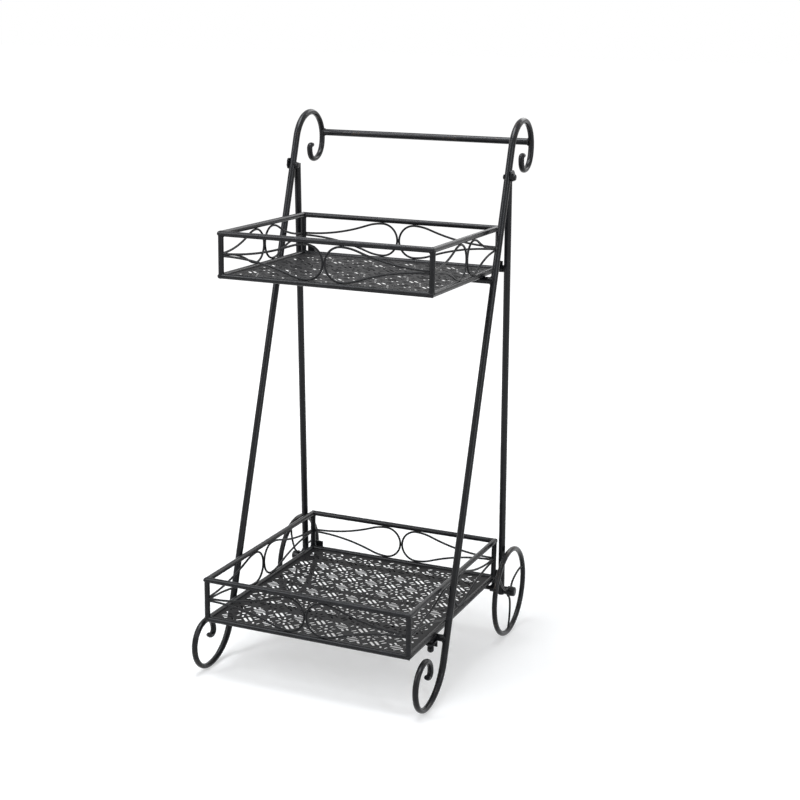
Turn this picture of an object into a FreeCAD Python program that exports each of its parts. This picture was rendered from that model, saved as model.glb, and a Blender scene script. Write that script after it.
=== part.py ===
import FreeCAD, Part
import math
import os

# Two-tier flower cart stand in round black bar: a scrolled front frame with
# the handlebar, a rear frame hinged to it at the top, two open baskets hinged
# on the rear bars, and a pair of wire-spoked wheels on the rear axle.
# Millimetres. X is left to right, -Y is the front (curled feet), +Y is the
# rear (wheels), Z is up from the floor. The origin is the centre of the
# footprint at floor level.

V = FreeCAD.Vector

# ---- driving dimensions --------------------------------------------------
BAR_R = 6.35           # legs, handlebar and front crossbars: half-inch round bar
RAIL_R = 5.0           # basket rails and posts: 10 mm round bar
WIRE_R = 2.0           # basket scrollwork: 4 mm wire
ROD_R = 4.25           # rear crossbar and axle: 8.5 mm rod

FRONT_X = 217.6        # front leg centre, left and right
LEG_Y0, LEG_SLOPE = -151.6, 0.309      # front leg: y = Y0 + slope * z
REAR_X = 214.8         # rear leg centre
REAR_Y0, REAR_SLOPE = 182.6, -0.047    # rear leg: y = Y0 + slope * z
REAR_TOP_Z, REAR_FOOT_Z = 901.0, 80.0

STRIP_A = 5.5          # half width of the flattened scroll ends
STRIP_B = 4.4          # half thickness at the edge
STRIP_CROWN = 0.25     # extra half thickness in the middle

ARCH_TOP_Z = 995.2     # bar centre at the top of the handle scroll
SCROLL = [(63.0, None), (50.3, 90), (70.0, 10), (35.2, 80),
          (18.5, 70), (28.0, 20), (6.4, 115)]
FOOT_BOTTOM_Z = STRIP_B + STRIP_CROWN
FOOT = [(83.2, None), (50.3, 90), (40.5, 90), (27.0, 90), (8.8, 110), (9.0, 30)]

PIVOT_Z = 898.5        # hinge bolt between the two frames, on the front leg
LUG_T, LUG_CLEAR = 2.6, 0.4            # hinge lug plate, clearance beside the legs
LUG_FRONT, LUG_LOW, LUG_HIGH = 6.5, 7.5, 13.0  # lug ahead of, below and above its bolt
BOLT_R, BOLT_FIT = 3.0, 0.05
NUT_FLATS, NUT_HEX, NUT_H = 12.0, 3.4, 6.6     # domed nut on the hinge bolts
HANDLE_TURN, HANDLE_INSET = 10.2, 0.2  # handlebar: degrees round the arch, mm inside it
CROSS_LOW_Z, CROSS_UP_Z = 100.2, 717.75

WHEEL_R = 88.6         # outside radius, standing on the floor
RIM_R = 5.0            # rim bar radius
RIM_OFFSET = 2.3       # rim middle from the hub's inner end
HUB_R, HUB_LEN = 9.5, 9.3
SPACER_LEN, HUB_PLAY = 7.1, 0.4
CAP_PLAY, CAP_GRIP, CAP_LEN = 0.3, 3.7, 5.6
SPOKE_R = 2.0
SPOKES_RIGHT = (0, 121, 252)           # turn of each spoke, degrees
SPOKES_LEFT = (96, 217, 348)
RUN_FIT = 0.07         # running clearance on rods

STRAP_T, STRAP_W = 2.5, 14.5
STRAP_INSET = (23.0, 8.3)              # left and right strap from the rear legs' inner faces
STRAP_RISE = 14.0      # strap tail above the bottom rail
ROD_DROP = 1.1         # upper basket's bottom rail above the rear crossbar's middle
REST_GAP = 0.3         # basket rail over the front crossbar that it rests on

BASKETS = {
    # gap beside the rear legs, depth and height between rail centres, and
    # the front crossbar underneath
    "upper": dict(side_gap=4.25, d=318.0, h=74.4, over=CROSS_UP_Z),
    "lower": dict(side_gap=5.85, d=426.0, h=75.0, over=CROSS_LOW_Z),
}
SHEET_T = 0.8          # tray floor sheet
LOOP_GAP = 2.1         # half distance of a scroll wire's two strands
LOOP_LATE = 0.8        # share of a strand's spread taken by its long outer arc
# repeat of the floor piercing: half pitch in X and Y, and one rosette centre
PIERCE = {"lower": (41.9, 43.8, 16.3, 65.3), "upper": (41.9, 43.8, 17.5, 33.9)}
BORDER = 8.0           # plain border of the floor sheet
STOP_W, STOP_GAP, STOP_DEPTH = 12.0, 0.8, 8.2  # stop bracket: width, gap to the crossbar, inner height
WEB_LIP, STUD_OUT = 10.2, 18.4         # web below the lower flange, stud in front of the web
BRACE_R, BRACE_Y = 3.0, -16.0          # rod under the lower floor


def leg_y(z):
    return LEG_Y0 + LEG_SLOPE * z


def rear_y(z):
    return REAR_Y0 + REAR_SLOPE * z


AXLE_Z = WHEEL_R
AXLE_Y = rear_y(AXLE_Z)
for _b in BASKETS.values():
    _b["w"] = 2 * (REAR_X - BAR_R - _b["side_gap"] - RAIL_R)
    _b["z"] = _b["over"] + BAR_R + REST_GAP + RAIL_R
    _b["tail_top"] = _b["z"] + STRAP_RISE


# ---- small builders ------------------------------------------------------
def rod(p, q, r):
    p, q = V(*p), V(*q)
    return Part.makeCylinder(r, (q - p).Length, p, q - p)


def box(x0, x1, y0, y1, z0, z1):
    return Part.makeBox(x1 - x0, y1 - y0, z1 - z0, V(x0, y0, z0))


def one(shapes):
    """Join the lengths of one bar and return a single clean solid."""
    s = shapes[0] if len(shapes) == 1 else shapes[0].multiFuse(shapes[1:])
    s = s.removeSplitter()
    return s.Solids[0] if len(s.Solids) == 1 else s


class Plane:
    """A flat sheet in space in which a bar is bent: u and v axes."""

    def __init__(self, origin, u, v):
        self.o, self.u, self.v = V(*origin), V(*u), V(*v)
        self.n = self.u.cross(self.v)

    def at(self, a, b):
        return self.o + self.u * a + self.v * b

    def along(self, deg):
        t = math.radians(deg)
        return self.u * math.cos(t) + self.v * math.sin(t)


def step(p, head, radius, turn):
    """Walk an arc; turn is positive to the left. Returns end, heading, centre."""
    s = 1 if turn > 0 else -1
    h0, h1 = math.radians(head), math.radians(head + turn)
    c = (p[0] - s * radius * math.sin(h0), p[1] + s * radius * math.cos(h0))
    q = (c[0] + s * radius * math.sin(h1), c[1] - s * radius * math.cos(h1))
    return q, head + turn, c


def round_face(pl, p, head, r):
    return Part.Face(Part.Wire(Part.makeCircle(r, pl.at(*p), pl.along(head))))


def flat_wire(pl, p, head, s):
    """Section part way from the round bar (s=0) to the flattened strip (s=1)."""
    c, w, n = pl.at(*p), pl.along(head + 90), pl.n
    k = BAR_R / math.sqrt(2)

    def mix(a, b):
        return a + (b - a) * s

    cx, cy = mix(k, STRIP_A - STRIP_B), mix(k, STRIP_B)
    sx, ty = mix(BAR_R, STRIP_A), mix(BAR_R, STRIP_B + STRIP_CROWN)

    def at(a, b):
        return c + n * a + w * b

    arcs = [((cx, cy), (0, ty), (-cx, cy)), ((-cx, cy), (-sx, 0), (-cx, -cy)),
            ((-cx, -cy), (0, -ty), (cx, -cy)), ((cx, -cy), (sx, 0), (cx, cy))]
    return Part.Wire([Part.Arc(at(*a), at(*b), at(*d)).toShape() for a, b, d in arcs])


def bend(pl, p, head, radius, turn, face):
    q, h, c = step(p, head, radius, turn)
    s = face.revolve(pl.at(*c), pl.n * (1 if turn > 0 else -1), abs(turn))
    return s, q, h


def wire_bar(pl, p, head, runs, r):
    """A round bar bent in one plane: runs are ("L", length) or ("A", radius, turn)."""
    section = Part.Wire(Part.makeCircle(r, pl.at(*p), pl.along(head)))
    path = []
    for run in runs:
        if run[0] == "L":
            t = math.radians(head)
            q = (p[0] + run[1] * math.cos(t), p[1] + run[1] * math.sin(t))
            path.append(Part.LineSegment(pl.at(*p), pl.at(*q)).toShape())
        else:
            m, _, _ = step(p, head, run[1], run[2] / 2)
            q, head, _ = step(p, head, run[1], run[2])
            path.append(Part.Arc(pl.at(*p), pl.at(*m), pl.at(*q)).toShape())
        p = q
    return Part.Wire(path).makePipeShell([section], True, False)


def strip_bar(pl, p, head, runs):
    out = []
    for radius, turn in runs:
        face = Part.Face(flat_wire(pl, p, head, 1.0))
        s, p, head = bend(pl, p, head, radius, turn, face)
        out.append(s)
    return out


def flatten(pl, stops):
    """Skin the stretch where the round bar is hammered flat."""
    return Part.makeLoft([flat_wire(pl, p, h, s) for p, h, s in stops], True, False)


def smooth(t):
    return t * t * (3 - 2 * t)


def dome_nut(base, axis, flats, hex_h, total, bore_r, bore_d):
    """Closed domed nut with its flat face at base, pointing along axis."""
    b, a = V(*base), V(*axis)
    side = V(0, 0, 1) if abs(a.z) < 0.5 else V(0, 1, 0)
    other = a.cross(side)
    rc = flats / math.sqrt(3)
    pts = [b + side * (rc * math.cos(math.radians(60 * i))) + other * (rc * math.sin(math.radians(60 * i)))
           for i in range(7)]
    hexa = Part.Face(Part.makePolygon(pts)).extrude(a * hex_h)
    chamfer = Part.makeCone(rc + 0.2, rc + 0.2 - hex_h * 0.5, hex_h, b, a)
    r = flats / 2 * 0.92
    crown = total - hex_h
    neck = Part.makeCylinder(r, crown * 0.45, b + a * hex_h, a)
    ball = Part.makeSphere(r)
    cap_h = crown * 0.55
    m = FreeCAD.Matrix()
    m.scale(1, 1, cap_h / r)
    ball = ball.transformGeometry(m)
    half = ball.common(Part.makeBox(4 * r, 4 * r, 2 * r, V(-2 * r, -2 * r, 0)))
    half.Placement = FreeCAD.Placement(b + a * (hex_h + crown * 0.45), FreeCAD.Rotation(V(0, 0, 1), a))
    nut = hexa.common(chamfer).multiFuse([neck, half]).removeSplitter()
    return nut.cut(Part.makeCylinder(bore_r, bore_d, b, a))


def low_head(base, axis, r, h):
    """Low domed bolt head standing on base."""
    b, a = V(*base), V(*axis)
    s = Part.makeCylinder(r, h, b, a)
    rim = [e for e in s.Edges if len(e.Vertexes) == 1 and (e.CenterOfMass - b).dot(a) > h * 0.9]
    return s.makeFillet(h * 0.6, rim)


# ---- the scrolled front legs --------------------------------------------
def front_leg(side):
    x = side * FRONT_X
    pl = Plane((x, 0, 0), (0, 1, 0), (0, 0, 1))
    lean = math.degrees(math.atan2(1, LEG_SLOPE))
    ra, rf = SCROLL[0][0], FOOT[0][0]
    z_top = ARCH_TOP_Z - ra * (1 - math.cos(math.radians(lean)))
    z_low = FOOT_BOTTOM_Z + rf * (1 - math.cos(math.radians(lean)))
    top, low = (leg_y(z_top), z_top), (leg_y(z_low), z_low)
    parts = [rod((x, low[0], low[1]), (x, top[0], top[1]), BAR_R)]

    # handle scroll: round, then hammered flat over the arch, then a curl
    q1 = 45.0
    s, p, h = bend(pl, top, lean, ra, -q1, round_face(pl, top, lean, BAR_R))
    parts.append(s)
    stops, rest = [], lean - q1
    for i in range(4):
        q, hh, _ = step(p, h, ra, -rest * i / 3 - 1e-9)
        stops.append((q, hh, smooth(i / 6)))
    p, h = stops[-1][0], 0.0
    rb = SCROLL[1][0]
    for i in range(1, 4):
        q, hh, _ = step(p, h, rb, -45.0 * i / 3)
        stops.append((q, hh, smooth((i + 3) / 6)))
    parts.append(flatten(pl, stops))
    p, h = stops[-1][0], stops[-1][1]
    parts += strip_bar(pl, p, h, [(rb, -45.0)] + [(r, -a) for r, a in SCROLL[2:]])

    # curled foot: the bar flattens as it sweeps down to the floor
    h0 = lean + 180
    stops = []
    for i in range(7):
        q, hh, _ = step(low, h0, rf, -lean * i / 6 - 1e-9)
        stops.append((q, hh, smooth(i / 6)))
    parts.append(flatten(pl, stops))
    parts += strip_bar(pl, stops[-1][0], 180.0, [(r, -a) for r, a in FOOT[1:]])
    leg = one(parts)
    hole = rod((x - 20, leg_y(PIVOT_Z), PIVOT_Z), (x + 20, leg_y(PIVOT_Z), PIVOT_Z), BOLT_R + BOLT_FIT)
    return leg.cut(hole)


# ---- the baskets ----------------------------------------------------------
def mitred_frame(w, y0, y1, z):
    """Four rails with mitred corners."""
    h, r, out = w / 2, RAIL_R, []

    def keep(pts):
        wire = Part.makePolygon([V(a, b, z - 2 * r) for a, b in pts + pts[:1]])
        return Part.Face(wire).extrude(V(0, 0, 4 * r))

    e = 2 * r
    for y, s in ((y0, 1), (y1, -1)):
        bar = rod((-h - e, y, z), (h + e, y, z), r)
        out.append(bar.common(keep([(-h - e, y - s * e), (h + e, y - s * e), (h - e, y + s * e), (-h + e, y + s * e)])))
    for x, s in ((-h, 1), (h, -1)):
        bar = rod((x, y0 - e, z), (x, y1 + e, z), r)
        out.append(bar.common(keep([(x - s * e, y0 - e), (x - s * e, y1 + e), (x + s * e, y1 - e), (x + s * e, y0 + e)])))
    return out


def scroll_pair(pl, half, height):
    """Two wire loops that meet in the middle of a panel, each drawn out into
    two strands that run back to the corner post at mid height."""
    r = height / 2 - RAIL_R - WIRE_R - 0.05
    uc = r + WIRE_R + 0.05
    start = half - RAIL_R
    d, rise = start - uc, r - LOOP_GAP
    both = (d * d + rise * rise) / (2 * rise)      # the two arcs' radii together
    turn = math.degrees(math.asin(d / both))
    far, near = LOOP_LATE * both, (1 - LOOP_LATE) * both
    out = []
    for s in (1, -1):
        runs = [("A", far, -s * turn), ("A", near, s * turn), ("A", r, s * 180),
                ("A", near, s * turn), ("A", far, -s * turn)]
        out.append(wire_bar(pl, (s * start, LOOP_GAP), 180 if s > 0 else 0, runs, WIRE_R))
    return out


def slot(cx, cy, ang, length, width, z):
    """Closed outline of a round-ended slot."""
    t = math.radians(ang)
    ux, uy = math.cos(t), math.sin(t)
    r, k = width / 2, (length - width) / 2

    def at(a, b):
        return V(cx + ux * a - uy * b, cy + uy * a + ux * b, z)

    if k < 0.05:
        return Part.Wire(Part.makeCircle(r, V(cx, cy, z)))
    return Part.Wire([
        Part.LineSegment(at(-k, -r), at(k, -r)).toShape(), Part.Arc(at(k, -r), at(k + r, 0), at(k, r)).toShape(),
        Part.LineSegment(at(k, r), at(-k, r)).toShape(), Part.Arc(at(-k, r), at(-k - r, 0), at(-k, -r)).toShape()])


def tray(name, x1, y0, y1, z):
    """Pierced floor sheet: rosette centres and groups of long slots set
    corner to corner. The shorter petals between them are left plain."""
    ax, ay, rx, ry = PIERCE[name]
    a1 = math.degrees(math.atan2(ay, ax))
    outer = Part.makePolygon([V(-x1, y0, z), V(x1, y0, z), V(x1, y1, z), V(-x1, y1, z), V(-x1, y0, z)])
    holes = []

    def add(cx, cy, ang, length, width):
        t, k = math.radians(ang), (length - width) / 2
        ex, ey = abs(math.cos(t)) * k + width / 2, abs(math.sin(t)) * k + width / 2
        if abs(cx) + ex < x1 - BORDER and cy - ey > y0 + BORDER and cy + ey < y1 - BORDER:
            holes.append(slot(cx, cy, ang, length, width, z))

    for i in range(-14, 15):
        for j in range(-14, 15):
            if (i + j) % 2:
                continue
            cx, cy = rx + i * ax, ry + j * ay
            add(cx, cy, 0, 7.4, 7.4)
            for sgn, n, pitch, width in ((-1, 2, 8.8, 5.0), (1, 3, 7.0, 4.0)):
                mx, my = cx + ax / 2, cy + sgn * ay / 2
                ang = sgn * a1
                nx, ny = -math.sin(math.radians(ang)), math.cos(math.radians(ang))
                for m in range(n):
                    o = (m - (n - 1) / 2) * pitch
                    add(mx + nx * o, my + ny * o, ang, 19.5, width)
    face = Part.makeFace([outer] + holes, "Part::FaceMakerBullseye")
    return face.extrude(V(0, 0, SHEET_T)), len(holes)


# ---- build ---------------------------------------------------------------
parts = {}
piv_y = leg_y(PIVOT_Z)
for side, label in ((-1, "left"), (1, "right")):
    parts["front_leg_" + label] = [front_leg(side)]
legs = [parts["front_leg_left"][0], parts["front_leg_right"][0]]


def between(y, z, r, half, cutters):
    bar = rod((-half, y, z), (half, y, z), r)
    for c in cutters:
        bar = bar.cut(c)
    return [max(bar.Solids, key=lambda k: k.Volume)]


lean = math.degrees(math.atan2(1, LEG_SLOPE))
arch_z = ARCH_TOP_Z - SCROLL[0][0] * (1 - math.cos(math.radians(lean)))
arch_y = leg_y(arch_z) + SCROLL[0][0] * math.sin(math.radians(lean))
grip = SCROLL[1][0] - HANDLE_INSET
handle_y = arch_y + grip * math.cos(math.radians(HANDLE_TURN))
handle_z = ARCH_TOP_Z - SCROLL[1][0] + grip * math.sin(math.radians(HANDLE_TURN))
parts["handlebar"] = between(handle_y, handle_z, BAR_R, FRONT_X - STRIP_A + 2.0, legs)
parts["front_crossbar_upper"] = between(leg_y(CROSS_UP_Z), CROSS_UP_Z, BAR_R, FRONT_X - 2, legs)
parts["front_crossbar_lower"] = between(leg_y(CROSS_LOW_Z), CROSS_LOW_Z, BAR_R, FRONT_X - 2, legs)

# hinge bolts: both point to the right, so the domed nut is on each leg's right
rear_out = REAR_X + BAR_R
lug_in = max(FRONT_X, REAR_X) + BAR_R + LUG_CLEAR
lug_out = lug_in + LUG_T
leg_in = FRONT_X - BAR_R
ax = (1, 0, 0)
bolts, nuts = [], []
for x_head, x_nut in ((leg_in, lug_out + 0.2), (-lug_out - 0.2, -leg_in)):
    head = low_head((x_head, piv_y, PIVOT_Z), (-1, 0, 0), 4.6, 1.9)
    bolts.append(one([head, rod((x_head, piv_y, PIVOT_Z), (x_nut + NUT_H - 2.4, piv_y, PIVOT_Z), BOLT_R)]))
    nuts.append(dome_nut((x_nut, piv_y, PIVOT_Z), ax, NUT_FLATS, NUT_HEX, NUT_H, BOLT_R + 0.02, NUT_H - 2.0))
parts["pivot_bolts"], parts["pivot_dome_nuts"] = bolts, nuts

# rear frame
for s, label in ((-1, "left"), (1, "right")):
    x = s * REAR_X
    leg = rod((x, rear_y(REAR_FOOT_Z), REAR_FOOT_Z), (x, rear_y(REAR_TOP_Z), REAR_TOP_Z), BAR_R)
    parts["rear_leg_" + label] = [leg.cut(rod((x - 20, AXLE_Y, AXLE_Z), (x + 20, AXLE_Y, AXLE_Z), ROD_R + 0.03))]
rear_legs = [parts["rear_leg_left"][0], parts["rear_leg_right"][0]]

up, lo = BASKETS["upper"], BASKETS["lower"]
loop_mid = ROD_R + RUN_FIT + STRAP_T / 2
rod_z = up["z"] - ROD_DROP
rod_y = rear_y(rod_z)
parts["rear_crossbar"] = between(rod_y, rod_z, ROD_R, REAR_X - 2, rear_legs)
spacer_in = rear_out + 0.05
hub_in = spacer_in + SPACER_LEN + HUB_PLAY
cap_in = hub_in + HUB_LEN + CAP_PLAY
axle_end = cap_in + CAP_GRIP
wheel_x = hub_in + RIM_OFFSET
parts["axle_rod"] = [rod((-axle_end, AXLE_Y, AXLE_Z), (axle_end, AXLE_Y, AXLE_Z), ROD_R)]

lugs = []
for s in (-1, 1):
    z0, z1 = PIVOT_Z - LUG_LOW, PIVOT_Z + LUG_HIGH
    y_front, y_back = piv_y - LUG_FRONT, rear_y(PIVOT_Z)
    plate = box(min(s * lug_in, s * lug_out), max(s * lug_in, s * lug_out), y_front, y_back, z0, z1)
    for y, z, r in ((y_front, z0, 6.0), (y_front, z1, 6.0), (y_back, z1, 14.0), (y_back, z0, 3.0)):
        edge = [e for e in plate.Edges if e.Length < LUG_T + 0.01
                and (e.CenterOfMass - V(e.CenterOfMass.x, y, z)).Length < 0.01]
        plate = plate.makeFillet(r, edge)
    # packing piece that takes up the step between the rear leg and the lug
    pack = box(min(s * (rear_out - 4), s * lug_in), max(s * (rear_out - 4), s * lug_in), y_back - 5.5, y_back - 0.5, z0, REAR_TOP_Z - 1)
    lug = one([plate, pack.cut(rear_legs[0 if s < 0 else 1])])
    lugs.append(lug.cut(rod((s * (lug_in - 5), piv_y, PIVOT_Z), (s * (lug_out + 5), piv_y, PIVOT_Z), BOLT_R + BOLT_FIT)))
parts["pivot_lugs"] = lugs


def ring(x0, x1, r_out, r_in, y, z):
    a, b = min(x0, x1), max(x0, x1)
    return rod((a, y, z), (b, y, z), r_out).cut(rod((a - 1, y, z), (b + 1, y, z), r_in))


parts["axle_spacers"] = [ring(s * spacer_in, s * (spacer_in + SPACER_LEN), HUB_R - 1.8, ROD_R + 0.03, AXLE_Y, AXLE_Z)
                        for s in (-1, 1)]
caps = []
for s in (-1, 1):
    cap = low_head((s * cap_in, AXLE_Y, AXLE_Z), (s, 0, 0), HUB_R - 0.3, CAP_LEN)
    caps.append(cap.cut(rod((s * (cap_in - 1), AXLE_Y, AXLE_Z), (s * (axle_end + 0.2), AXLE_Y, AXLE_Z), ROD_R + 0.02)))
parts["axle_caps"] = caps

# wheels: bar rim, three hooked spokes and a plain hub
for s, label, turns in ((-1, "left", SPOKES_LEFT), (1, "right", SPOKES_RIGHT)):
    x = s * wheel_x
    rim = Part.makeTorus(WHEEL_R - RIM_R, RIM_R, V(x, AXLE_Y, AXLE_Z), V(1, 0, 0))
    hub = ring(s * hub_in, s * (hub_in + HUB_LEN), HUB_R, ROD_R + RUN_FIT, AXLE_Y, AXLE_Z)
    spokes = []
    for turn in turns:
        t = math.radians(turn)
        pl = Plane((x, AXLE_Y, AXLE_Z), (0, math.cos(t), math.sin(t)), (0, -math.sin(t), math.cos(t)))
        w = wire_bar(pl, (HUB_R - 0.7, -1.5), 75, [("A", 28.0, -50), ("A", 110.0, -25), ("L", 9.5)], SPOKE_R)
        w = w.cut(rim).cut(hub)
        spokes.append(max(w.Solids, key=lambda k: k.Volume))
    parts["wheel_rim_" + label] = [rim]
    parts["wheel_spokes_" + label] = spokes
    parts["wheel_hub_" + label] = [hub]

# baskets
for name, b in BASKETS.items():
    h = b["w"] / 2
    z0, z1 = b["z"], b["z"] + b["h"]
    if name == "upper":      # strap tail rises from the front of its loop
        tail_y0 = rod_y - loop_mid - STRAP_T / 2
        y_rod, z_rod = rod_y, rod_z
    else:                    # strap tail rises from the back of its loop
        tail_y0 = AXLE_Y + loop_mid - STRAP_T / 2
        y_rod, z_rod = AXLE_Y, AXLE_Z
    yb = tail_y0 - RAIL_R
    yf = yb - b["d"]
    b["yf"], b["yb"] = yf, yb
    zm = (z0 + z1) / 2
    top, bottom = mitred_frame(b["w"], yf, yb, z1), mitred_frame(b["w"], yf, yb, z0)
    posts = []
    for x in (-h, h):
        for y in (yf, yb):
            p = rod((x, y, z0 + 1.0), (x, y, z1 - 1.0), RAIL_R)
            for r in top + bottom:
                p = p.cut(r)
            posts.append(max(p.Solids, key=lambda k: k.Volume))
    parts[name + "_top_frame"], parts[name + "_bottom_frame"] = top, bottom
    parts[name + "_corner_posts"] = posts
    ym = (yf + yb) / 2
    panels = {"front": ((0, yf, zm), (1, 0, 0), h), "back": ((0, yb, zm), (1, 0, 0), h),
              "left": ((-h, ym, zm), (0, 1, 0), b["d"] / 2), "right": ((h, ym, zm), (0, 1, 0), b["d"] / 2)}
    for where, (o, u, half) in panels.items():
        parts["%s_%s_scrollwork" % (name, where)] = scroll_pair(Plane(o, u, (0, 0, 1)), half, b["h"])
    zs = z0 - SHEET_T / 2
    sheet, n = tray(name, h - RAIL_R, yf + RAIL_R, yb - RAIL_R, zs)
    print("%s tray openings: %d" % (name, n))
    parts[name + "_tray"] = [sheet]
    if name == "lower":      # cross rod that carries the middle of the wider floor
        brace = rod((-h, BRACE_Y, zs - BRACE_R), (h, BRACE_Y, zs - BRACE_R), BRACE_R)
        for r in bottom:
            brace = brace.cut(r)
        parts["lower_tray_brace"] = [max(brace.Solids, key=lambda k: k.Volume)]
    straps = []
    for x in (-(REAR_X - BAR_R - STRAP_INSET[0]), REAR_X - BAR_R - STRAP_INSET[1]):
        xa, xb = x - STRAP_W / 2, x + STRAP_W / 2
        loop = ring(xa, xb, ROD_R + RUN_FIT + STRAP_T, ROD_R + RUN_FIT, y_rod, z_rod)
        tail = box(xa, xb, tail_y0, tail_y0 + STRAP_T, z_rod, b["tail_top"])
        tail = tail.cut(rod((xa - 1, y_rod, z_rod), (xb + 1, y_rod, z_rod), ROD_R + RUN_FIT))
        straps.append(one([loop, tail]))
    parts[name + "_hinge_straps"] = straps

# stop brackets under the lower basket: a channel that bears on the front of
# the lower crossbar and keeps the two frames from spreading
h = lo["w"] / 2
cy = leg_y(CROSS_LOW_Z)
web_y = cy - BAR_R - STOP_GAP
stud_y = web_y - STUD_OUT
under = lo["z"] - RAIL_R
flange = under - STRAP_T - STOP_DEPTH      # underside of the lower flange
web_low = flange - WEB_LIP
brackets, studs, stop_nuts = [], [], []
for s in (-1, 1):
    x = s * h
    x0, x1 = x - STOP_W / 2, x + STOP_W / 2
    web = box(x0, x1, web_y - STRAP_T, web_y, web_low, under)
    top_f = box(x0, x1, stud_y - 8, web_y - 1, under - STRAP_T, under)
    low_f = box(x0, x1, stud_y - 8, web_y - 1, flange, flange + STRAP_T)
    br = one([web, top_f, low_f])
    brackets.append(br.cut(rod((x, stud_y, flange - 5), (x, stud_y, under + 5), BOLT_R + 0.1)))
    studs.append(rod((x, stud_y, flange - 7.2), (x, stud_y, under), BOLT_R))
    stop_nuts.append(dome_nut((x, stud_y, flange), (0, 0, -1), 13.0, 6.0, 15.6, BOLT_R + 0.02, 7.6))
parts["stop_brackets"], parts["stop_studs"], parts["stop_dome_nuts"] = brackets, studs, stop_nuts

# ---- write ---------------------------------------------------------------
os.makedirs("parts", exist_ok=True)
bb = None
for name, solids in sorted(parts.items()):
    flat = []
    for s in solids:
        flat += s.Solids
    shape = flat[0] if len(flat) == 1 else Part.makeCompound(flat)
    ok = shape.isValid() and all(f.Volume > 1 for f in flat)
    if not ok:
        print("CHECK", name, shape.isValid(), [round(f.Volume, 1) for f in flat])
    shape.exportStep("parts/%s.step" % name)
    if bb is None:
        bb = FreeCAD.BoundBox(shape.BoundBox)
    else:
        bb.add(shape.BoundBox)
print("nodes", len(parts), "box", [round(v, 2) for v in (bb.XMin, bb.XMax, bb.YMin, bb.YMax, bb.ZMin, bb.ZMax)])
print("pivot y %.2f  rear rod y %.2f z %.2f" % (piv_y, rod_y, rod_z))
print("baskets", {k: (round(b["yf"], 1), round(b["yb"], 1)) for k, b in BASKETS.items()})
print("open angle %.2f" % (math.degrees(math.atan(LEG_SLOPE) + math.atan(-REAR_SLOPE))))
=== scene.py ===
# Two-tier folding flower cart in black bar. The frame, baskets and wheels come
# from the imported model; this adds the pierced floors, the weld beads, the
# finishes, the studio and the camera. Metres, +Z up, -Y towards the front.
import bpy
import bmesh
import math
from mathutils import Matrix, Vector, noise


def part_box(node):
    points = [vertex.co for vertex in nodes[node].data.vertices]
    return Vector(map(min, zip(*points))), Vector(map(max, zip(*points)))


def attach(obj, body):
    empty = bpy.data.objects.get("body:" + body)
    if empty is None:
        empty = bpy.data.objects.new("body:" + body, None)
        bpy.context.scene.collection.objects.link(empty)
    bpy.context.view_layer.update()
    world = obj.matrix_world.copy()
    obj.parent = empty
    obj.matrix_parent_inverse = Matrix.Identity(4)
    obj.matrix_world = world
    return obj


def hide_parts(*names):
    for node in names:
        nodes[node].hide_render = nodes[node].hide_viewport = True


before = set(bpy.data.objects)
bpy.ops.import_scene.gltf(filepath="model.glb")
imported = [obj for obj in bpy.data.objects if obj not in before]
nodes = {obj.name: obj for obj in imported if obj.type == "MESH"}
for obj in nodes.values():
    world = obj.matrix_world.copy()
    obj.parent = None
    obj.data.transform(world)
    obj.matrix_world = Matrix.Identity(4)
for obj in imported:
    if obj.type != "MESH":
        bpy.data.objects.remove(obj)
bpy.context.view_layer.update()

MM = 0.001
RAIL_R, WIRE_R, BAR_R, RIM_R = 5.0 * MM, 2.0 * MM, 6.35 * MM, 5.0 * MM
ROD_R = 4.25 * MM               # axle and rear crossbar
STRAP_W = 14.5 * MM             # hinge strap
STRIP_GRIP = 5.2 * MM           # leg centre to the handlebar's weld, in X
WHEEL_Y, WHEEL_Z = 0.1784, 0.0886    # wheel middle
# floor piercing: half pitch in X and Y, and the place of one rosette centre
FLOOR_PITCH = (41.9 * MM, 43.8 * MM)
ROSETTE_AT = {"lower": (16.3 * MM, 65.3 * MM), "upper": (17.5 * MM, 33.9 * MM)}
FLOOR_BORDER = 6.5 * MM
# its holes, in mm: round hole; rosette slot (radius, length, width); cross
# slot (radius, half spacing, length, width); long slots (tilt, count, pitch,
# width) and their length
ROSETTE_HOLE = 7.4
ROSETTE_SLOT = (12.9, 8.4, 3.6)
CROSS_SLOT = (14.4, 4.5, 10.6, 4.3)
LONG_GROUPS = ((-1, 2, 8.8, 5.0), (1, 3, 7.0, 4.0))
LONG_SLOT = 19.5


# ---- node groups ----------------------------------------------------------
def new_group(name, inputs, outputs):
    g = bpy.data.node_groups.new(name, "ShaderNodeTree")
    for n, kind, value in inputs:
        s = g.interface.new_socket(n, in_out="INPUT", socket_type=kind)
        if value is not None:
            s.default_value = value
    for n, kind in outputs:
        g.interface.new_socket(n, in_out="OUTPUT", socket_type=kind)
    return g, g.nodes.new("NodeGroupInput"), g.nodes.new("NodeGroupOutput")


def feed(tree, socket, v):
    """Link v to the socket when it is an output, else set it as the value."""
    if hasattr(v, "is_output"):
        tree.links.new(v, socket)
    else:
        socket.default_value = v


def ramp(tree, fac, low, high, a=0.0, b=1.0):
    """Map fac from low..high to a..b, clamped and eased."""
    r = tree.nodes.new("ShaderNodeMapRange")
    r.interpolation_type = "SMOOTHSTEP"
    for i, v in ((1, low), (2, high), (3, a), (4, b)):
        feed(tree, r.inputs[i], v)
    tree.links.new(fac, r.inputs[0])
    return r.outputs[0]


def math_node(tree, op, a, b=None):
    m = tree.nodes.new("ShaderNodeMath")
    m.operation = op
    feed(tree, m.inputs[0], a)
    if b is not None:
        feed(tree, m.inputs[1], b)
    return m.outputs[0]


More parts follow.
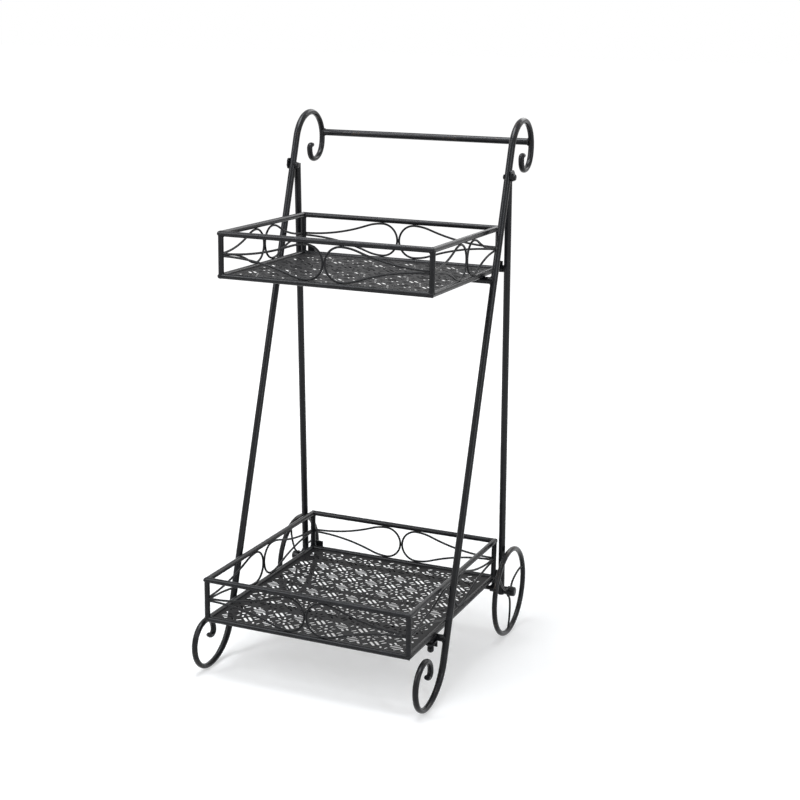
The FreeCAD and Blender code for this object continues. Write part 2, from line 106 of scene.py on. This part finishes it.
def scaled(tree, v, factor):
    return math_node(tree, "MULTIPLY", v, factor)


def about_half(tree, v, factor):
    """(v - 0.5) * factor."""
    return scaled(tree, math_node(tree, "SUBTRACT", v, 0.5), factor)


def noise_node(tree, vec, scale, detail=3.0, rough=0.5):
    n = tree.nodes.new("ShaderNodeTexNoise")
    for name, v in (("Scale", scale), ("Detail", detail), ("Roughness", rough)):
        feed(tree, n.inputs[name], v)
    tree.links.new(vec, n.inputs["Vector"])
    return n.outputs["Fac"]


def mix_colour(tree, fac, a, b):
    m = tree.nodes.new("ShaderNodeMix")
    m.data_type = "RGBA"
    for i, v in ((0, fac), (6, a), (7, b)):
        feed(tree, m.inputs[i], v)
    return m.outputs[2]


def build_paint_skin():
    """Sprayed paint over hot-rolled bar: slow shade drift, orange peel and the
    long low lumps of the bar under it."""
    g, i, o = new_group("paint_skin",
                        [("Vector", "NodeSocketVector", None),
                         ("Base", "NodeSocketColor", (0.02, 0.02, 0.02, 1)),
                         ("Lift", "NodeSocketColor", (0.03, 0.03, 0.035, 1)),
                         ("Rough", "NodeSocketFloat", 0.42),
                         ("Drift", "NodeSocketFloat", 35.0), ("Peel", "NodeSocketFloat", 900.0)],
                        [("Color", "NodeSocketColor"), ("Roughness", "NodeSocketFloat"),
                         ("Height", "NodeSocketFloat")])
    vec = i.outputs["Vector"]
    slow = noise_node(g, vec, i.outputs["Drift"], 4.0, 0.6)
    fine = noise_node(g, vec, i.outputs["Peel"], 2.0, 0.5)
    lump = noise_node(g, vec, scaled(g, i.outputs["Drift"], 4.0), 2.0, 0.5)
    shade = ramp(g, slow, 0.35, 0.68)
    g.links.new(mix_colour(g, shade, i.outputs["Base"], i.outputs["Lift"]), o.inputs["Color"])
    r = math_node(g, "ADD", i.outputs["Rough"], about_half(g, slow, 0.18))
    g.links.new(math_node(g, "ADD", r, about_half(g, fine, 0.05)), o.inputs["Roughness"])
    height = math_node(g, "ADD", scaled(g, fine, 0.12), scaled(g, lump, 0.9))
    g.links.new(height, o.inputs["Height"])
    return g


def build_rub():
    """Where hands and the ground rub the paint: broken patches that follow a
    mask from 0 to 1."""
    g, i, o = new_group("rub_patches",
                        [("Vector", "NodeSocketVector", None), ("Zone", "NodeSocketFloat", 0.0),
                         ("Scale", "NodeSocketFloat", 160.0), ("Amount", "NodeSocketFloat", 0.5)],
                        [("Mask", "NodeSocketFloat")])
    vec = i.outputs["Vector"]
    patch = noise_node(g, vec, i.outputs["Scale"], 5.0, 0.62)
    big = noise_node(g, vec, scaled(g, i.outputs["Scale"], 0.17), 2.0, 0.5)
    both = math_node(g, "ADD", scaled(g, patch, 0.6), scaled(g, big, 0.4))
    reach = scaled(g, i.outputs["Amount"], scaled(g, i.outputs["Zone"], 0.26))
    edge = math_node(g, "SUBTRACT", 0.66, reach)
    patches = ramp(g, both, edge, math_node(g, "ADD", edge, 0.07))
    g.links.new(scaled(g, patches, ramp(g, i.outputs["Zone"], 0.02, 0.25)), o.inputs["Mask"])
    return g


def build_dust():
    """Pale dust that settles on faces that look up."""
    g, i, o = new_group("settled_dust",
                        [("Vector", "NodeSocketVector", None), ("Normal", "NodeSocketVector", None),
                         ("Amount", "NodeSocketFloat", 0.3)],
                        [("Mask", "NodeSocketFloat")])
    sep = g.nodes.new("ShaderNodeSeparateXYZ")
    g.links.new(i.outputs["Normal"], sep.inputs[0])
    up = ramp(g, sep.outputs["Z"], 0.2, 1.0)
    speck = noise_node(g, i.outputs["Vector"], 420.0, 4.0, 0.7)
    cloud = noise_node(g, i.outputs["Vector"], 22.0, 3.0, 0.55)
    m = scaled(g, ramp(g, speck, 0.38, 0.72), ramp(g, cloud, 0.3, 0.7, 0.35, 1.0))
    g.links.new(scaled(g, scaled(g, m, up), i.outputs["Amount"]), o.inputs["Mask"])
    return g


PAINT_SKIN, RUB, DUST = build_paint_skin(), build_rub(), build_dust()


# ---- finishes ---------------------------------------------------------------
def place_group(tree, group, **values):
    n = tree.nodes.new("ShaderNodeGroup")
    n.node_tree = group
    for name, v in values.items():
        feed(tree, n.inputs[name], v)
    return n


def painted(name, base, lift, rough=0.25, drift=35.0, peel=900.0, bump=0.03, specular=0.21,
            rub=(0.040, 0.030, 0.022, 1), rub_amount=0.5, rub_scale=160.0, zone="ends", dust=0.05,
            dust_tint=(0.10, 0.098, 0.10, 1)):
    """Black paint on steel, rubbed through in a zone and dusty on top."""
    m = bpy.data.materials.new(name)
    m.use_nodes = True
    t = m.node_tree
    bsdf = t.nodes["Principled BSDF"]
    co = t.nodes.new("ShaderNodeTexCoord")
    geo = t.nodes.new("ShaderNodeNewGeometry")
    vec = co.outputs["Object"]
    sep = t.nodes.new("ShaderNodeSeparateXYZ")
    t.links.new(vec, sep.inputs[0])
    if zone == "ends":          # handle scrolls and curled feet
        z = sep.outputs["Z"]
        mask = math_node(t, "ADD", ramp(t, z, 0.90, 0.985), ramp(t, z, 0.115, 0.03))
    elif zone == "tread":       # outside of the wheel rims
        dy = math_node(t, "SUBTRACT", sep.outputs["Y"], WHEEL_Y)
        dz = math_node(t, "SUBTRACT", sep.outputs["Z"], WHEEL_Z)
        d = math_node(t, "SQRT", math_node(t, "ADD", scaled(t, dy, dy), scaled(t, dz, dz)))
        mask = ramp(t, d, 0.0835, 0.0884)
    else:
        mask = 0.25
    skin = place_group(t, PAINT_SKIN, Vector=vec, Base=base, Lift=lift, Rough=rough,
                       Drift=drift, Peel=peel)
    worn = place_group(t, RUB, Vector=vec, Zone=mask, Scale=rub_scale, Amount=rub_amount)
    dusty = place_group(t, DUST, Vector=vec, Normal=geo.outputs["Normal"], Amount=dust)
    c = mix_colour(t, worn.outputs["Mask"], skin.outputs["Color"], rub)
    c = mix_colour(t, dusty.outputs["Mask"], c, dust_tint)
    t.links.new(c, bsdf.inputs["Base Color"])
    r = math_node(t, "ADD", skin.outputs["Roughness"], scaled(t, dusty.outputs["Mask"], 0.35))
    r = math_node(t, "SUBTRACT", r, scaled(t, worn.outputs["Mask"], 0.06))
    t.links.new(math_node(t, "MAXIMUM", r, 0.15), bsdf.inputs["Roughness"])
    b = t.nodes.new("ShaderNodeBump")
    b.inputs["Strength"].default_value = bump
    b.inputs["Distance"].default_value = 0.0006
    h = math_node(t, "SUBTRACT", skin.outputs["Height"], scaled(t, worn.outputs["Mask"], 0.4))
    t.links.new(h, b.inputs["Height"])
    t.links.new(b.outputs["Normal"], bsdf.inputs["Normal"])
    bsdf.inputs["Specular IOR Level"].default_value = specular
    return m


BLACK, BLACK_LIFT = (0.0062, 0.0064, 0.0074, 1), (0.0105, 0.0108, 0.0128, 1)
FINISH = {
    "bar": painted("black_satin_bar", BLACK, BLACK_LIFT, rub_amount=0.42),
    "basket": painted("black_satin_rail", BLACK, BLACK_LIFT,
                      rough=0.27, drift=50.0, zone="all", rub_amount=0.10, rub_scale=260.0),
    "wire": painted("black_satin_wire", BLACK, (0.0100, 0.0103, 0.0120, 1),
                    rough=0.32, drift=80.0, peel=1400.0, zone="all", rub_amount=0.10, rub_scale=420.0),
    "floor": painted("pierced_floor_paint", (0.0088, 0.0086, 0.0092, 1), (0.0132, 0.0128, 0.0136, 1),
                     rough=0.50, drift=18.0, peel=700.0, specular=0.12, zone="all", rub_amount=0.12,
                     rub_scale=90.0, dust=0.08),
    "wheel": painted("black_satin_wheel", BLACK, BLACK_LIFT, zone="tread", rub_amount=0.5, rub_scale=220.0),
    "nut": painted("black_nut", (0.0055, 0.0056, 0.0062, 1), (0.0090, 0.0091, 0.0104, 1), rough=0.28,
                   drift=120.0, zone="all", rub_amount=0.25, rub_scale=500.0, dust=0.03),
    "weld": painted("painted_weld", (0.0058, 0.0060, 0.0068, 1), (0.0095, 0.0097, 0.0112, 1), rough=0.42,
                    drift=260.0, peel=1800.0, bump=0.35, zone="all", rub_amount=0.15, rub_scale=600.0),
}

FASTENERS = ("pivot_bolts", "pivot_dome_nuts", "stop_dome_nuts", "stop_studs", "axle_caps")
for name, obj in nodes.items():
    if name in FASTENERS:
        kind = "nut"
    elif "scrollwork" in name or "spokes" in name:
        kind = "wire"
    elif name.startswith("wheel"):
        kind = "wheel"
    elif name.startswith(("upper_", "lower_")):
        kind = "basket"
    else:
        kind = "bar"
    obj.data.materials.clear()
    obj.data.materials.append(FINISH[kind])


def add_piece(name, mesh, kind, body):
    obj = bpy.data.objects.new(name, mesh)
    bpy.context.scene.collection.objects.link(obj)
    mesh.materials.clear()
    mesh.materials.append(FINISH[kind])
    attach(obj, body)
    return obj


# ---- pierced floors ---------------------------------------------------------
def add_ring(curve, points):
    s = curve.splines.new("POLY")
    s.points.add(len(points) - 1)
    for p, q in zip(s.points, points):
        p.co = (q[0], q[1], 0.0, 1.0)
    s.use_cyclic_u = True


def slot_ring(cx, cy, ang, length, width, steps):
    """Round-ended slot; a length equal to the width gives a round hole."""
    c, s = math.cos(ang), math.sin(ang)
    r, k = width / 2, max(0.0, (length - width) / 2)
    out = []
    for end in (1, -1):
        for i in range(steps + 1):
            a = -math.pi / 2 + math.pi * i / steps
            u, v = end * (k + r * math.cos(a)), end * r * math.sin(a)
            out.append((cx + u * c - v * s, cy + u * s + v * c))
    return out


def floor_slots(tier):
    """Every hole of the piercing: rosettes of eight short slots round a hole,
    crosses of four pairs, and groups of two or three long slots between."""
    ax, ay = FLOOR_PITCH
    rx, ry = ROSETTE_AT[tier]
    diag = math.atan2(ay, ax)
    for i in range(-12, 13):
        for j in range(-12, 13):
            cx, cy = rx + i * ax, ry + j * ay
            if (i + j) % 2 == 0:
                yield cx, cy, 0.0, ROSETTE_HOLE * MM, ROSETTE_HOLE * MM
                reach, length, width = (v * MM for v in ROSETTE_SLOT)
                for k in range(8):
                    a = math.pi * (k + 0.5) / 4
                    yield cx + reach * math.cos(a), cy + reach * math.sin(a), a, length, width
                for sgn, n, pitch, width in LONG_GROUPS:
                    a = sgn * diag
                    nx, ny = -math.sin(a), math.cos(a)
                    for m in range(n):
                        o = (m - (n - 1) / 2) * pitch * MM
                        x, y = cx + ax / 2 + nx * o, cy + sgn * ay / 2 + ny * o
                        yield x, y, a, LONG_SLOT * MM, width * MM
            else:
                reach, apart, length, width = (v * MM for v in CROSS_SLOT)
                for a in (diag, math.pi - diag, math.pi + diag, -diag):
                    mx, my = cx + reach * math.cos(a), cy + reach * math.sin(a)
                    for o in (-apart, apart):
                        yield mx - math.sin(a) * o, my + math.cos(a) * o, a, length, width


def pierced_floor(tier):
    node = tier + "_tray"
    lo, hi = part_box(node)
    curve = bpy.data.curves.new(node + "_outline", "CURVE")
    curve.dimensions, curve.fill_mode = "2D", "BOTH"
    curve.extrude = (hi.z - lo.z) / 2
    add_ring(curve, [(lo.x, lo.y), (hi.x, lo.y), (hi.x, hi.y), (lo.x, hi.y)])
    for cx, cy, a, length, width in floor_slots(tier):
        k = (length - width) / 2
        ex, ey = abs(math.cos(a)) * k + width / 2, abs(math.sin(a)) * k + width / 2
        if (cx - ex > lo.x + FLOOR_BORDER and cx + ex < hi.x - FLOOR_BORDER
                and cy - ey > lo.y + FLOOR_BORDER and cy + ey < hi.y - FLOOR_BORDER):
            add_ring(curve, slot_ring(cx, cy, a, length, width, 4))
    flat = bpy.data.objects.new(node + "_outline", curve)
    bpy.context.scene.collection.objects.link(flat)
    bpy.context.view_layer.update()
    mesh = bpy.data.meshes.new_from_object(flat)
    bpy.data.objects.remove(flat)
    bpy.data.curves.remove(curve)
    bm = bmesh.new()
    bm.from_mesh(mesh)
    bmesh.ops.remove_doubles(bm, verts=bm.verts, dist=1e-6)
    bmesh.ops.translate(bm, verts=bm.verts, vec=(0, 0, (lo.z + hi.z) / 2))
    bmesh.ops.recalc_face_normals(bm, faces=bm.faces)
    bm.to_mesh(mesh)
    bm.free()
    mesh.name = tier + "_pierced_floor"
    sheet = add_piece(tier + "_pierced_floor", mesh, "floor", tier + "_basket")
    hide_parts(node)


for tier in ("upper", "lower"):
    pierced_floor(tier)


# ---- weld beads -------------------------------------------------------------
def bead(bm, path, r, closed=True, pulse=1.9 * MM):
    """A run of weld laid along the path: a tube that swells at every pulse."""
    count, run, turn, first, ring, last = len(path), 0.0, None, None, None, None
    for i, p in enumerate(path):
        ahead = path[(i + 1) % count] if closed or i < count - 1 else p
        behind = path[i - 1] if closed or i > 0 else p
        t = (ahead - behind).normalized()
        turn = t.to_track_quat("Z", "Y") if turn is None else last.rotation_difference(t) @ turn
        last = t
        run += (p - path[i - 1]).length if i else 0.0
        swell = 1 + 0.14 * math.sin(2 * math.pi * run / pulse) + 0.28 * noise.noise(p * 900)
        if not closed and i in (0, count - 1):
            swell *= 0.45
        place = Matrix.Translation(p) @ turn.to_matrix().to_4x4() @ Matrix.Scale(swell * r, 4)
        if ring is None:
            verts = bmesh.ops.create_circle(bm, segments=8, radius=1, cap_ends=False, matrix=place)["verts"]
            first = ring = list({e for v in verts for e in v.link_edges})
        else:
            made = bmesh.ops.extrude_edge_only(bm, edges=ring)["geom"]
            verts = [g for g in made if isinstance(g, bmesh.types.BMVert)]
            bmesh.ops.transform(bm, verts=verts, matrix=place @ before.inverted())
            own = set(verts)
            ring = [g for g in made if isinstance(g, bmesh.types.BMEdge) and set(g.verts) <= own]
        before = place
    if closed:
        bmesh.ops.bridge_loops(bm, edges=first + ring)
    else:
        bmesh.ops.contextual_create(bm, geom=first)
        bmesh.ops.contextual_create(bm, geom=ring)


def tack(bm, place, size, flat=(1, 1, 1)):
    """One small lump of weld."""
    verts = bmesh.ops.create_icosphere(bm, subdivisions=2, radius=1)["verts"]
    for v in verts:
        v.co *= 1 + 0.22 * noise.noise(v.co * 1.3 + Vector(place) * 700)
        v.co = Vector(place) + Vector((v.co.x * flat[0], v.co.y * flat[1], v.co.z * flat[2])) * size


def around(place, axis, r, saddle=None, steps=26):
    """Closed path round a bar end; saddle(direction) shifts it along the axis."""
    axis = Vector(axis).normalized()
    side = axis.orthogonal().normalized()
    other = axis.cross(side)
    out = []
    for i in range(steps):
        a = 2 * math.pi * i / steps
        e = side * math.cos(a) + other * math.sin(a)
        out.append(Vector(place) + e * r + axis * (saddle(e) if saddle else 0.0))
    return out


def onto_bar(r, bar_r, bar_axis):
    """How far a bar of radius r runs on past first touch of a round bar."""
    bar_axis = Vector(bar_axis).normalized()

    def shift(e):
        d = r * e.cross(bar_axis).length
        return bar_r - math.sqrt(max(bar_r ** 2 - d ** 2, 0.02 * bar_r ** 2))
    return shift


def straight(p, q, steps):
    p, q = Vector(p), Vector(q)
    return [p.lerp(q, i / steps) for i in range(steps + 1)]


def weld_piece(name, bm, body):
    bmesh.ops.recalc_face_normals(bm, faces=bm.faces)
    for f in bm.faces:
        f.smooth = True
    mesh = bpy.data.meshes.new(name)
    bm.to_mesh(mesh)
    bm.free()
    add_piece(name, mesh, "weld", body)


def node_middle(node):
    lo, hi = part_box(node)
    return (lo + hi) / 2, (hi - lo) / 2


FRONT_LEAN, REAR_LEAN = Vector((0, 0.309, 1)), Vector((0, -0.047, 1))
FRONT_X, REAR_X = 217.6 * MM, 214.8 * MM


def weld_front_frame():
    bm = bmesh.new()
    for node in ("front_crossbar_upper", "front_crossbar_lower"):
        mid, _ = node_middle(node)
        for s in (-1, 1):
            shift = onto_bar(BAR_R, BAR_R, FRONT_LEAN)
            ring = around((s * (FRONT_X - BAR_R), mid.y, mid.z), (s, 0, 0), BAR_R + 0.5 * MM, shift, 34)
            bead(bm, ring, 1.25 * MM)
    mid, _ = node_middle("handlebar")
    for s in (-1, 1):
        ring = around((s * (FRONT_X - STRIP_GRIP), mid.y, mid.z), (s, 0, 0), BAR_R + 0.1 * MM, None, 32)
        bead(bm, ring, 1.5 * MM)
    weld_piece("front_frame_welds", bm, "front_frame")


def weld_rear_frame():
    bm = bmesh.new()
    shift = onto_bar(ROD_R, BAR_R, REAR_LEAN)
    for s in (-1, 1):
        for node in ("rear_crossbar", "axle_rod"):
            mid, _ = node_middle(node)
            ring = around((s * (REAR_X - BAR_R), mid.y, mid.z), (s, 0, 0), ROD_R + 0.35 * MM, shift)
            bead(bm, ring, 1.15 * MM)
    lo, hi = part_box("pivot_lugs")
    for s in (-1, 1):
        x = s * (REAR_X + BAR_R + 1.2 * MM)
        upright = straight((x, hi.y - 0.3 * MM, lo.z + 1.5 * MM), (x, hi.y - 0.6 * MM, lo.z + 9.0 * MM), 9)
        bead(bm, upright, 1.5 * MM, False)
        under = straight((x, hi.y - 5.5 * MM, lo.z + 0.1 * MM), (x, hi.y - 0.8 * MM, lo.z + 0.1 * MM), 5)
        bead(bm, under, 1.2 * MM, False)
    weld_piece("rear_frame_welds", bm, "rear_frame")


def weld_basket(tier):
    bm = bmesh.new()
    lo_t, hi_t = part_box(tier + "_top_frame")
    lo_b, hi_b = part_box(tier + "_bottom_frame")
    hx, yf, yb = hi_t.x - RAIL_R, lo_t.y + RAIL_R, hi_t.y - RAIL_R
    z0, z1, ym = lo_b.z + RAIL_R, hi_t.z - RAIL_R, (lo_t.y + hi_t.y) / 2
    for sx in (-1, 1):
        for y, sy in ((yf, -1), (yb, 1)):
            def climb(e, sx=sx, sy=sy):
                h = 0.25
                if e.x * sx < 0:
                    h = max(h, abs(e.x))
                if e.y * sy < 0:
                    h = max(h, abs(e.y))
                return h * RAIL_R + 0.15 * MM
            for z, up in ((z0, 1), (z1, -1)):
                ring = around((sx * hx, y, z), (0, 0, up), RAIL_R + 0.25 * MM, climb, 24)
                bead(bm, ring, 0.85 * MM, pulse=1.5 * MM)
            mitre = Vector((sx, sy, 0)).normalized()
            for z, up in ((z0, -1), (z1, 1)):
                # seam over the mitre: an ellipse on the diagonal plane
                path = []
                for i in range(9):
                    a = math.pi * (0.12 + 0.76 * i / 8)
                    path.append(Vector((sx * hx, y, z)) + mitre * math.cos(a) * RAIL_R * 1.38
                                + Vector((0, 0, up * math.sin(a) * (RAIL_R - 0.15 * MM))))
                bead(bm, path, 0.55 * MM, False, pulse=1.4 * MM)
    # tacks where the scroll wires touch the rails, each other and the posts
    loop = (z1 - z0) / 2 - RAIL_R - WIRE_R
    zm = (z0 + z1) / 2
    deep = (yb - yf) / 2
    sides = (("x", yf, hx, 0.0), ("x", yb, hx, 0.0), ("y", -hx, deep, ym), ("y", hx, deep, ym))
    for axis, at, half, mid in sides:
        def turned(u, v, z):
            """A triple given as along the side, across it and up."""
            return (u, v, z) if axis == "x" else (v, u, z)

        def tack_at(u, z, size, flat):
            tack(bm, turned(mid + u, at, z), size, turned(*flat))
        for s in (-1, 1):
            for z in (z0 + RAIL_R, z1 - RAIL_R):
                tack_at(s * (loop + WIRE_R), z, 1.7 * MM, (1.5, 0.9, 0.7))
            tack_at(s * (half - RAIL_R), zm, 2.5 * MM, (0.7, 0.8, 1.5))
        tack_at(0.0, zm, 1.6 * MM, (0.7, 0.8, 1.8))
    # strap tails on the back rail, where there is rail beside the strap
    s_lo, s_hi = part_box(tier + "_hinge_straps")
    y = yb + RAIL_R + 0.4 * MM
    for xm in (s_lo.x + STRAP_W / 2, s_hi.x - STRAP_W / 2):
        for dx in (-7.4 * MM, 7.4 * MM):
            x = xm + dx
            if abs(x) <= hx + RAIL_R - 1.0 * MM:
                bead(bm, straight((x, y, z0 - 2.0 * MM), (x, y, z0 + 2.4 * MM), 5), 0.9 * MM, False)
    if tier == "lower":
        b_lo, b_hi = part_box("stop_brackets")
        for s in (-1, 1):
            for dx in (-5.6 * MM, 5.6 * MM):
                x, z = s * (b_hi.x - 6 * MM) + dx * 0.62, b_hi.z + 0.25 * MM
                bead(bm, straight((x, b_lo.y + 2 * MM, z), (x, b_hi.y - 1 * MM, z), 14), 0.9 * MM, False)
        brace, _ = node_middle("lower_tray_brace")
        for s in (-1, 1):
            tack(bm, (s * (hx - RAIL_R), brace.y, brace.z), 3.0 * MM, (0.6, 1.1, 1.0))
    weld_piece(tier + "_basket_welds", bm, tier + "_basket")


SPOKE_TURNS = {"left": (96, 217, 348), "right": (0, 121, 252)}


def weld_wheel(label):
    """Tacks at both ends of each spoke."""
    bm = bmesh.new()
    mid, half = node_middle("wheel_rim_" + label)
    for turn in SPOKE_TURNS[label]:
        for r, a in ((half.z - 2 * RIM_R, 24.6), (9.6 * MM, 1.0)):
            t = math.radians(turn + a)
            out = Vector((0, math.cos(t), math.sin(t)))
            tack(bm, mid + out * r, 2.9 * MM, (1.0, 0.8, 0.8))
    weld_piece("wheel_welds_" + label, bm, "wheel_" + label)


weld_front_frame()
weld_rear_frame()
for tier in ("upper", "lower"):
    weld_basket(tier)
for label in ("left", "right"):
    weld_wheel(label)


# ---- camera, light and ground ----------------------------------------------
def set_camera():
    az, el, roll = (math.radians(v) for v in (23.127, 14.018, 0.997))
    turn = Matrix.Rotation(az, 3, "Z") @ Matrix.Rotation(math.pi / 2 - el, 3, "X")
    aim = Vector((0, 0.1068, 0.5)) + turn @ Vector((0.02042, -0.03464, 0))
    cam = bpy.data.cameras.new("camera")
    cam.sensor_width, cam.lens = 36.0, 67.0
    cam.clip_start, cam.clip_end = 0.05, 200
    obj = bpy.data.objects.new("camera", cam)
    bpy.context.scene.collection.objects.link(obj)
    place = aim + turn @ Vector((0, 0, 2.845))
    obj.matrix_world = Matrix.Translation(place) @ (turn @ Matrix.Rotation(roll, 3, "Z")).to_4x4()
    bpy.context.scene.camera = obj


def set_lamp(name, place, aim, size, watts, tint=(1, 1, 1)):
    lamp = bpy.data.lights.new(name, "AREA")
    lamp.shape, lamp.size, lamp.size_y = "RECTANGLE", size[0], size[1]
    lamp.energy, lamp.color = watts, tint
    obj = bpy.data.objects.new(name, lamp)
    obj.location = place
    obj.rotation_euler = (Vector(aim) - Vector(place)).to_track_quat("-Z", "Y").to_euler()
    bpy.context.scene.collection.objects.link(obj)


def seen_directly(tree):
    """1 for camera, glossy and transmission rays, 0 for diffuse light."""
    rays = tree.nodes.new("ShaderNodeLightPath").outputs
    clear = math_node(tree, "MAXIMUM", rays["Is Glossy Ray"], rays["Is Transmission Ray"])
    return math_node(tree, "MAXIMUM", rays["Is Camera Ray"], clear)


def set_studio():
    scene = bpy.context.scene
    scene.view_settings.view_transform = "Standard"
    world = bpy.data.worlds.new("studio")
    world.use_nodes = True
    t = world.node_tree
    back = t.nodes["Background"]
    t.links.new(ramp(t, seen_directly(t), 0.0, 1.0, 0.30, 1.0), back.inputs["Strength"])
    back.inputs["Color"].default_value = (1, 1, 1, 1)
    scene.world = world
    set_lamp("key", (-1.7, -2.3, 2.6), (0, 0, 0.5), (0.7, 2.2), 46, (0.95, 0.97, 1.0))
    set_lamp("fill", (2.7, -1.5, 1.6), (0, 0, 0.5), (0.5, 2.2), 28, (0.90, 0.95, 1.0))
    set_lamp("rim", (0.6, 2.8, 2.4), (0, 0, 0.5), (2.4, 1.2), 24, (1.0, 1.0, 1.0))
    set_lamp("top", (-0.3, -0.3, 2.9), (0, 0, 0.4), (1.5, 1.1), 62, (0.94, 0.97, 1.0))
    ground = bpy.data.meshes.new("ground")
    bm = bmesh.new()
    bmesh.ops.create_grid(bm, x_segments=1, y_segments=1, size=60)
    bm.to_mesh(ground)
    bm.free()
    obj = bpy.data.objects.new("ground", ground)
    obj.location = (0, 0, -0.0002)
    scene.collection.objects.link(obj)
    m = bpy.data.materials.new("pale_ground")
    m.use_nodes = True
    t = m.node_tree
    bsdf = t.nodes["Principled BSDF"]
    bsdf.inputs["Base Color"].default_value = (0.60, 0.60, 0.60, 1)
    bsdf.inputs["Roughness"].default_value = 0.85
    bsdf.inputs["Specular IOR Level"].default_value = 0.0
    glow, mix = t.nodes.new("ShaderNodeEmission"), t.nodes.new("ShaderNodeAddShader")
    # far from the cart the lamps don't reach the floor, so its own white takes over
    co, far = t.nodes.new("ShaderNodeTexCoord"), t.nodes.new("ShaderNodeVectorMath")
    far.operation = "LENGTH"
    t.links.new(co.outputs["Object"], far.inputs[0])
    near_to_far = ramp(t, far.outputs["Value"], 0.6, 2.4, 0.46, 0.86)
    t.links.new(scaled(t, seen_directly(t), near_to_far), glow.inputs["Strength"])
    t.links.new(bsdf.outputs[0], mix.inputs[0])
    t.links.new(glow.outputs[0], mix.inputs[1])
    t.links.new(mix.outputs[0], t.nodes["Material Output"].inputs["Surface"])
    ground.materials.append(m)


set_camera()
set_studio()

bpy.context.view_layer.update()
